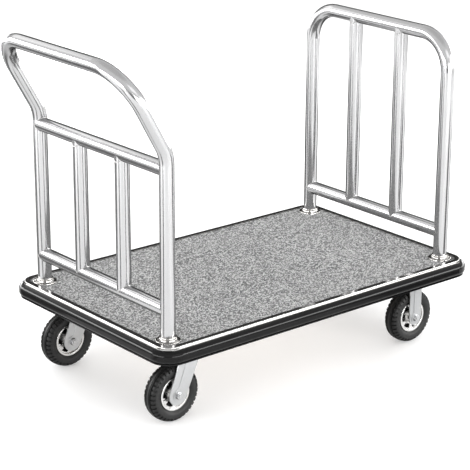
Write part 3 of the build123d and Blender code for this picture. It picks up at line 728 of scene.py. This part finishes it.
# --- The pieces that are modelled here ---
@dataclass
class Tyre:
    """A caster's tyre: two centre ribs with grooves, shoulder blocks and a smooth sidewall."""

    radius: float
    half_width: float
    seat_radius: float = 42 * MM
    bead_radius: float = 45.3 * MM
    groove_depth: float = 3.2 * MM
    blocks: int = 36
    steps_per_block: int = 3
    notch_depth: float = 2.4 * MM
    block_depth: float = 3.8 * MM

    def _section(self) -> list[tuple[float, float]]:
        """The section's half on +Y, as distances from the wheel's middle plane and from its axle."""
        crown, side = self.radius / MM, self.half_width / MM
        floor = crown - self.groove_depth / MM
        section = [
            (1.0, crown), (3.6, crown - 0.1), (4.0, floor), (5.4, floor), (5.8, crown - 0.2),
            (7.6, crown - 0.4), (9.6, crown - 0.7), (10.1, floor - 0.4), (11.6, floor - 0.6),
            (12.1, crown - 1.2), (15.4, crown - 2.2), (18.2, crown - 4.2), (20.2, crown - 7.2),
            (side - 0.5, crown - 11.0), (side, crown - 14.5), (side, crown - 18.5),
            (side - 0.7, crown - 22.0), (19.6, crown - 25.6), (18.6, crown - 26.6), (18.2, crown - 26.3),
            (17.3, crown - 27.8), (16.2, crown - 29.6),
            (15.0, self.bead_radius / MM), (15.0, self.seat_radius / MM),
        ]
        return [(across * MM, radius * MM) for across, radius in section]

    def _where(self, polygon: MeshPolygon) -> tuple[float, float, int]:
        """A face's distance from the middle plane, depth under the tread and station round the wheel."""
        x, y, z = polygon.center
        turn = degrees(atan2(z, x)) % 360
        station = int(turn / (360 / (self.blocks * self.steps_per_block)))
        return abs(y), self.radius - Vector((x, z)).length, station

    def _is_sipe(self, polygon: MeshPolygon) -> bool:
        """Whether a face is cut away between two shoulder blocks, staggered from side to side."""
        across, depth, station = self._where(polygon)
        shoulder = 12.2 * MM < across < self.half_width - 0.3 * MM and depth < 11.5 * MM
        stagger = self.steps_per_block // 2 if polygon.center.y < 0 else 0
        return shoulder and (station + stagger) % self.steps_per_block == 0

    def _is_notch(self, polygon: MeshPolygon) -> bool:
        """Whether a face is a notch in the outer edge of a centre rib."""
        across, depth, station = self._where(polygon)
        stagger = 0 if polygon.center.y < 0 else 1
        return 7.6 * MM < across < 9.6 * MM and depth < 1.2 * MM and (station + stagger) % 2 == 0

    def model(self, name: str) -> Object:
        """Model the tyre about the origin, on an axle along Y.

        Args:
            name: The new object's name.

        Returns:
            The tyre.
        """
        half = self._section()
        section = [(0.0, y, r) for y, r in reversed(half)] + [(0.0, -y, r) for y, r in half]
        tyre = draw_outline(name, section, closed=True)
        spin_outline(tyre, (0, 1, 0), self.blocks * self.steps_per_block)
        for test, depth in ((self._is_notch, self.notch_depth), (self._is_sipe, self.block_depth)):
            select_faces(tyre, test)
            bpy.ops.mesh.extrude_region_shrink_fatten(TRANSFORM_OT_shrink_fatten={"value": -depth})
            bpy.ops.object.mode_set(mode="OBJECT")
        rounding = {"width": 0.25 * MM, "segments": 1}
        apply_modifier(tyre, "BEVEL", limit_method="ANGLE", angle_limit=radians(40), **rounding)
        smooth(tyre)
        return tyre


@dataclass
class PostFlange:
    """A spun cover at a post's foot: a domed disc and a collar in two steps."""

    disc_radius: float
    foot: float
    top: float
    tube_radius: float
    disc_proud: float = 3 * MM
    carpet_depth: float = 6 * MM
    stations: int = 72

    def _section(self) -> list[tuple[float, float]]:
        """Radius and height of the outline, from the foot's inside edge round to the collar's top."""
        tube, rim, top = self.tube_radius / MM, self.disc_radius / MM, self.top / MM
        foot = self.foot / MM
        disc = foot + self.carpet_depth / MM
        dome = disc + self.disc_proud / MM
        wide, narrow = tube + 5.6, tube + 3.4
        section = [
            (tube, foot), (rim, foot), (rim, disc + 0.5), (rim - 0.3, disc + 1.1), (rim - 1.2, disc + 1.7),
            (rim - 3.4, disc + 2.3), (wide + 0.8, dome - 0.1), (wide + 0.2, dome + 0.3), (wide, dome + 0.8),
            (wide, dome + 2.6), (wide - 0.3, dome + 3.2), (wide - 0.9, dome + 3.5), (narrow, dome + 3.6),
            (narrow - 0.4, dome + 4.2), (narrow, dome + 4.8), (narrow, top - 1.2), (narrow - 0.5, top - 0.3),
            (narrow - 1.3, top), (tube, top),
        ]
        return [(radius * MM, height * MM) for radius, height in section]

    def model(self, name: str) -> Object:
        """Model the flange about the origin's upright axis."""
        section = [(radius, 0.0, height) for radius, height in self._section()]
        flange = draw_outline(name, section, closed=True)
        spin_outline(flange, (0, 0, 1), self.stations)
        smooth(flange)
        return flange


@dataclass
class Carpet:
    """The carpet with real loop relief, cut to the outline and holes of its CAD solid."""

    node: str = "carpet"
    cell: float = 2.6 * MM
    pile: float = 1.6 * MM
    loop_size: float = 3.0 * MM
    trim_margin: float = 2 * MM
    sink: float = 0.2 * MM

    def _backing(self) -> Object:
        """A copy of the CAD solid with its corners merged, used to cut the pile to shape."""
        cutter = copy_of(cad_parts[self.node], "carpet_outline")
        cutter.parent = None
        take(cutter)
        bpy.ops.object.mode_set(mode="EDIT")
        bpy.ops.mesh.select_all(action="SELECT")
        bpy.ops.mesh.remove_doubles(threshold=MERGE_DISTANCE)
        bpy.ops.object.mode_set(mode="OBJECT")
        return cutter

    def model(self) -> Object:
        """Model the carpet.

        Returns:
            The carpet piece, in place.
        """
        low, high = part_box(self.node)
        size = high - low + Vector((2 * self.trim_margin, 2 * self.trim_margin, 0))
        centre = (low + high) / 2
        counts = [ceil(length / self.cell) for length in size[:2]]
        clear_selection()
        spot = (centre.x, centre.y, high.z - self.sink)
        bpy.ops.mesh.primitive_grid_add(
            x_subdivisions=counts[0], y_subdivisions=counts[1], size=1, location=spot
        )
        carpet = named("carpet_pile")
        carpet.scale = (size.x, size.y, 1)
        bpy.ops.object.transform_apply(location=True, rotation=True, scale=True)
        texture = bpy.data.textures.new("Loop relief", "VORONOI")
        texture.noise_scale = self.loop_size
        relief = {"direction": "Z", "mid_level": 0.0, "strength": -self.pile}
        apply_modifier(carpet, "DISPLACE", texture=texture, texture_coords="LOCAL", **relief)
        select_faces(carpet, lambda polygon: True)
        bpy.ops.mesh.extrude_region_move(TRANSFORM_OT_translate={"value": (0, 0, -2 * (high.z - low.z))})
        bpy.ops.mesh.select_all(action="SELECT")
        bpy.ops.mesh.normals_make_consistent(inside=False)
        cutter = self._backing()
        apply_modifier(carpet, "BOOLEAN", operation="INTERSECT", object=cutter, solver="EXACT")
        bpy.data.objects.remove(cutter)
        smooth(carpet, radians(60))
        return carpet


@dataclass
class WeldBead:
    """The dressed bead where a round tube meets another of the same size at a right angle."""

    tube_radius: float
    bead: float = 1.1 * MM
    stations: int = 56

    def model(self, name: str, place: Point, away: Point) -> Object:
        """Model one bead.

        Args:
            name: The new object's name.
            place: Where the two tubes' axes cross.
            away: The direction in which the ending tube leaves the other, along Y or Z.

        Returns:
            The bead, in place.
        """
        clear_selection()
        bpy.ops.mesh.primitive_torus_add(
            major_radius=self.tube_radius, minor_radius=self.bead,
            major_segments=self.stations, minor_segments=8,
        )
        ring = named(name)
        for vertex in ring.data.vertices:
            across = vertex.co.y / Vector(vertex.co[:2]).length
            vertex.co.z += self.tube_radius * abs(across)
        turn = Vector((0, 0, 1)).rotation_difference(Vector(away)).to_matrix().to_4x4()
        ring.data.transform(Matrix.Translation(place) @ turn)
        smooth(ring)
        return ring


# --- The cart's sub-assemblies ---
@dataclass
class Casters:
    """The four casters: detailed tyres in place of the plain ones, and the finishes of the metalwork."""

    effects: Effects

    def build(self) -> None:
        """Model the tyres and dress every caster node."""
        low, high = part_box("swivel_left_tyre")
        pattern = Tyre(radius=(high.z - low.z) / 2, half_width=(high.y - low.y) / 2).model("tyre_pattern")
        for wheel in WHEELS:
            centre = middle(f"{wheel}_tyre")
            tyre = put(copy_of(pattern, f"{wheel}_treaded_tyre"), centre)
            dress(tyre, TYRE_RUBBER.material(self.effects, centre))
            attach(tyre, f"{wheel}_wheel")
            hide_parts(f"{wheel}_tyre")
            report(tyre)
        bpy.data.objects.remove(pattern)
        self._dress_metal()

    def _dress_metal(self) -> None:
        """Give the forks, brackets, rims, bearings and fasteners their finishes."""
        zinc = ZINC.material(self.effects)
        fastener, ground = FASTENER.material(self.effects), GROUND_STEEL.material(self.effects)
        for side in SIDES:
            dress_nodes(zinc, f"swivel_{side}_plate", f"swivel_{side}_fork", f"rigid_{side}_bracket")
            dress_nodes(fastener, f"swivel_{side}_king_pin")
            dress_nodes(ground, f"swivel_{side}_balls")
        for wheel in WHEELS:
            rim = f"{wheel}_rim"
            # Each rim's material paints shade into its window recesses, about the rim's own middle.
            dress_nodes(RIM_PLATE.material(self.effects, middle(rim)), rim)
            dress_nodes(fastener, f"{wheel}_axle_bolt")
            dress_nodes(ground, f"{wheel}_axle_sleeve", f"{wheel}_bearings")
        dress_nodes(fastener, "caster_bolts", "caster_nuts")


@dataclass
class Deck:
    """The deck: loop carpet, mirror trim, rubber bumper, plywood and the black frame."""

    effects: Effects

    def build(self) -> None:
        """Model the carpet and dress the deck's nodes."""
        carpet = Carpet().model()
        dress(carpet, LoopCarpet().material(self.effects))
        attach(carpet, "cart")
        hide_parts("carpet")
        report(carpet)
        frame_paint = PowderCoat().material(self.effects)
        dress_nodes(frame_paint, "frame_side_rail_left", "frame_side_rail_right", "frame_cross_rails")
        dress_nodes(Plywood().material(self.effects), "deck_panel")
        dress_nodes(TRIM_STEEL.material(self.effects), "edge_trim")
        dress_nodes(BUMPER_RUBBER.material(self.effects), "bumper")
        dress_nodes(ZINC.material(self.effects), "bumper_skirt")
        dress_nodes(FASTENER.material(self.effects), "trim_screws", "skirt_screws", "panel_screws")


@dataclass
class TubeWork:
    """The push handle and the hoop with their rails, bars, weld beads, flanges and bolts."""

    effects: Effects
    tube_radius: float = TUBE_RADIUS

    def build(self) -> None:
        """Dress the tubes and model the beads and flanges."""
        self._dress_tubes()
        self._weld()
        self._cover_feet()

    def _dress_tubes(self) -> None:
        """Give each tube a finish whose grain runs along it."""
        upright, level = UPRIGHT_TUBE.material(self.effects), LEVEL_TUBE.material(self.effects)
        for end in ENDS:
            dress_nodes(upright, f"{end}_bar_1", f"{end}_bar_2")
            dress_nodes(level, f"{end}_lower_rail")
            bend_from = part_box(f"{end}_tube")[1].z - 3 * self.tube_radius
            turned = {"name": f"Polished steel, {end}", "top_run": Run.ACROSS, "top_from": bend_from}
            dress_nodes(replace(UPRIGHT_TUBE, **turned).material(self.effects), f"{end}_tube")
        dress_nodes(level, "handle_upper_rail")

    def _joints(self) -> list[tuple[str, Point, Point]]:
        """Name, place and direction of every bead."""
        found = []
        for end in ENDS:
            rails = ["lower_rail", "upper_rail"] if end == "handle" else ["lower_rail"]
            axis = middle(f"{end}_lower_rail")
            for rail in rails:
                post_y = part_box(f"{end}_tube")[1].y - self.tube_radius
                height = middle(f"{end}_{rail}").z
                for side, sign in zip(SIDES, (1, -1)):
                    place = (axis.x, sign * post_y, height)
                    found.append((f"{end}_{rail}_weld_{side}", place, (0, -sign, 0)))
            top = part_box("hoop_tube")[1].z - self.tube_radius
            if end == "handle":
                top = middle("handle_upper_rail").z
            for number in (1, 2):
                y = middle(f"{end}_bar_{number}").y
                found.append((f"{end}_bar_{number}_foot_weld", (axis.x, y, axis.z), (0, 0, 1)))
                found.append((f"{end}_bar_{number}_head_weld", (axis.x, y, top), (0, 0, -1)))
        return found

    def _weld(self) -> None:
        """Model a bead at every joint."""
        finish = WELD_STEEL.material(self.effects)
        bead = WeldBead(self.tube_radius)
        for name, place, away in self._joints():
            ring = bead.model(name, place, away)
            dress(ring, finish)
            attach(ring, "cart")
            report(ring)

    def _cover_feet(self) -> None:
        """Model the four post flanges and dress what holds the posts down."""
        finish = FLANGE_CHROME.material(self.effects)
        low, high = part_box("post_flange_hoop_left")
        flange = PostFlange((high.x - low.x) / 2, low.z, high.z, self.tube_radius)
        pattern = flange.model("flange_pattern")
        for end in ENDS:
            for side in SIDES:
                node = f"post_flange_{end}_{side}"
                spot = middle(node)
                cover = put(copy_of(pattern, f"{end}_{side}_foot_cover"), Vector((spot.x, spot.y, 0)))
                dress(cover, finish)
                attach(cover, "cart")
                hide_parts(node)
                report(cover)
        bpy.data.objects.remove(pattern)
        dress_nodes(FASTENER.material(self.effects), "post_plugs", "post_bolts", "post_washers")


@dataclass(frozen=True)
class Card:
    """A glowing card seen only in the cart's reflections, which it paints: a patch lying on the floor beside
    the cart that paints a darker or lighter band, or a standing screen that paints a highlight.
    """

    turn: float
    width: float
    glow: float
    near: float
    far: float
    foot: float = 0.001
    head: float = 0.001
    fade: float = 0.22

    def stand(self) -> None:
        """Put the card in its place, from near and foot to far and head in its direction from the cart."""
        clear_selection()
        bpy.ops.mesh.primitive_plane_add(size=1)
        card = named(f"card_{self.turn % 360:.0f}_{self.glow * 100:.0f}")
        toward = Vector((sin(radians(self.turn)), -cos(radians(self.turn)), 0))
        across = Vector((-toward.y, toward.x, 0))
        start = toward * self.near + Vector((0, 0, self.foot))
        end = toward * self.far + Vector((0, 0, self.head))
        ends = ((start, self.width * self.near / self.far), (end, self.width))
        corners = [place + across * share * half for place, share in ends for half in (-0.5, 0.5)]
        for vertex, corner in zip(card.data.vertices, corners):
            vertex.co = corner
        dress(card, self._material())
        # Hidden from camera, diffuse and shadow rays, so the card lights nothing: its glow is a painted
        # reflection in the metal.
        card.visible_camera = card.visible_diffuse = card.visible_shadow = False

    def _material(self) -> Material:
        """A glow, painted into the metal's reflections, that fades out towards the card's edges."""
        skin = Skin("Painted reflection card")
        shares = skin.add("SeparateXYZ", {"Vector": skin.add("TexCoord").outputs["UV"]}).outputs
        fades = []
        for axis in ("X", "Y"):
            off_centre = skin.maths("ABSOLUTE", skin.maths("SUBTRACT", shares[axis], 0.5))
            fades.append(skin.remap(off_centre, 0.5 - self.fade, 0.5, 1.0, 0.0, soft=True))
        return skin.finish({
            "Alpha": skin.maths("MULTIPLY", *fades),
            "Base Color": BLACK,
            "Specular IOR Level": 0.0,
            "Emission Color": WHITE,
            "Emission Strength": self.glow,
        })


@dataclass
class Studio:
    """The pale floor, the soft lights, the surround, the cards that paint the metal's reflections, and the
    camera.
    """

    azimuth: float = -39.9
    elevation: float = 18.9
    roll: float = 0.25
    lens: float = 135.0
    distance: float = 4.77
    target: Point = (-0.007, -0.006, 0.3495)
    floor_size: float = 60.0
    floor_glow: float = 0.18
    strip_length: float = 3.6
    strip_height: float = 0.8
    strip_distance: float = 3.6
    strip_rise: float = 0.8
    strip_aim: float = 0.3
    strips: tuple[tuple[float, float], ...] = ((-90, 90.0), (0, 90.0), (90, 80.0), (180, 80.0))
    surround: float = 1.13
    # Painted reflections: the dim cards paint darker bands, the brighter ones painted highlights, and the two
    # at glow 15 the bumper's highlight streaks.
    cards: tuple[Card, ...] = (
        Card(106, 3.3, 0.13, 0.5, 3.2), Card(166, 3.6, 0.13, 0.5, 3.2), Card(272, 1.0, 0.3, 0.6, 3.2),
        Card(350, 1.5, 1.9, 0.6, 3.2), Card(40, 1.7, 0.2, 0.5, 3.2), Card(220, 2.2, 0.3, 0.5, 3.2),
        Card(140, 4.6, 0.08, 3.3, 3.4, 0.0, 3.0), Card(320, 2.0, 0.2, 3.3, 3.4, 0.0, 0.9),
        Card(40, 3.2, 15.0, 3.2, 3.6, 0.7, 2.0), Card(220, 3.2, 15.0, 3.2, 3.6, 0.7, 2.0),
        Card(188, 2.4, 2.2, 3.2, 2.5, 2.1, 3.0), Card(0, 2.6, 2.0, 3.4, 2.6, 2.0, 3.2),
    )

    def build(self) -> None:
        """Set up everything round the cart."""
        self._floor()
        self._world()
        for turn, power in self.strips:
            self._strip(turn, power)
        for card in self.cards:
            card.stand()
        self._camera()
        bpy.context.scene.view_settings.view_transform = "Standard"

    def _floor(self) -> None:
        """A wide, plain, pale floor."""
        clear_selection()
        bpy.ops.mesh.primitive_plane_add(size=self.floor_size, location=(0, 0, 0))
        floor = named("floor")
        skin = Skin("Pale floor")
        stops = [(0.3, (0.86, 0.86, 0.86)), (0.7, (0.88, 0.88, 0.88))]
        dress(floor, skin.finish({
            "Base Color": skin.ramp(skin.noise(skin.place, 3.0), stops),
            "Roughness": 0.7,
            "Specular IOR Level": 0.2,
            "Emission Color": WHITE,
            "Emission Strength": self.floor_glow,
        }))

    def _world(self) -> None:
        """A pale surround, darker at the horizon and overhead so that metal has something to reflect."""
        world = bpy.data.worlds.new("Studio surround")
        bpy.context.scene.world = world
        world.use_nodes = True
        graph = Graph(world.node_tree)
        direction = graph.add("TexCoord").outputs["Generated"]
        lifted = graph.remap(graph.axis(direction, "Z"), -1.0, 1.0, 0.0, 1.0)
        low, pale, grey = (0.6, 0.6, 0.6), (1.0, 1.0, 1.0), (0.75, 0.75, 0.75)
        stops = [(0.0, pale), (0.5, low), (0.52, low), (0.6, pale), (0.86, pale), (0.95, grey)]
        background = graph.add("Background", {"Color": graph.ramp(lifted, stops), "Strength": self.surround})
        graph.add("OutputWorld", {"Surface": background.outputs["Background"]})

    def _strip(self, turn: float, power: float) -> None:
        """A long, low softbox level with the floor, aimed down at the cart.

        Args:
            turn: Its direction from the cart in degrees; 0 is -Y and 90 is +X.
            power: Its power in watts.
        """
        toward = Vector((sin(radians(turn)), -cos(radians(turn)), 0))
        data = bpy.data.lights.new(f"strip_{turn}", "AREA")
        data.shape = "RECTANGLE"
        data.size, data.size_y, data.energy = self.strip_length, self.strip_height, power
        lamp = bpy.data.objects.new(data.name, data)
        bpy.context.scene.collection.objects.link(lamp)
        lamp.location = toward * self.strip_distance + Vector((0, 0, self.strip_rise))
        lamp.rotation_mode = "QUATERNION"
        lamp.rotation_quaternion = (Vector((0, 0, self.strip_aim)) - lamp.location).to_track_quat("-Z", "Y")

    def _camera(self) -> None:
        """A long lens from the handle end's right front quarter, looking a little down."""
        turn, tilt = radians(self.azimuth), radians(self.elevation)
        back = Vector((sin(turn) * cos(tilt), -cos(turn) * cos(tilt), sin(tilt)))
        data = bpy.data.cameras.new("camera")
        data.lens = self.lens
        camera = bpy.data.objects.new("camera", data)
        bpy.context.scene.collection.objects.link(camera)
        camera.location = Vector(self.target) + back * self.distance
        camera.rotation_mode = "QUATERNION"
        camera.rotation_quaternion = Quaternion(back, radians(self.roll)) @ (-back).to_track_quat("-Z", "Y")
        bpy.context.scene.camera = camera


def main() -> None:
    """Build the cart and its studio."""
    logging.basicConfig(level=logging.INFO, format="%(name)s %(message)s")
    effects = Effects()
    Deck(effects).build()
    TubeWork(effects).build()
    Casters(effects).build()
    Studio().build()


if __name__ == "__main__":
    main()
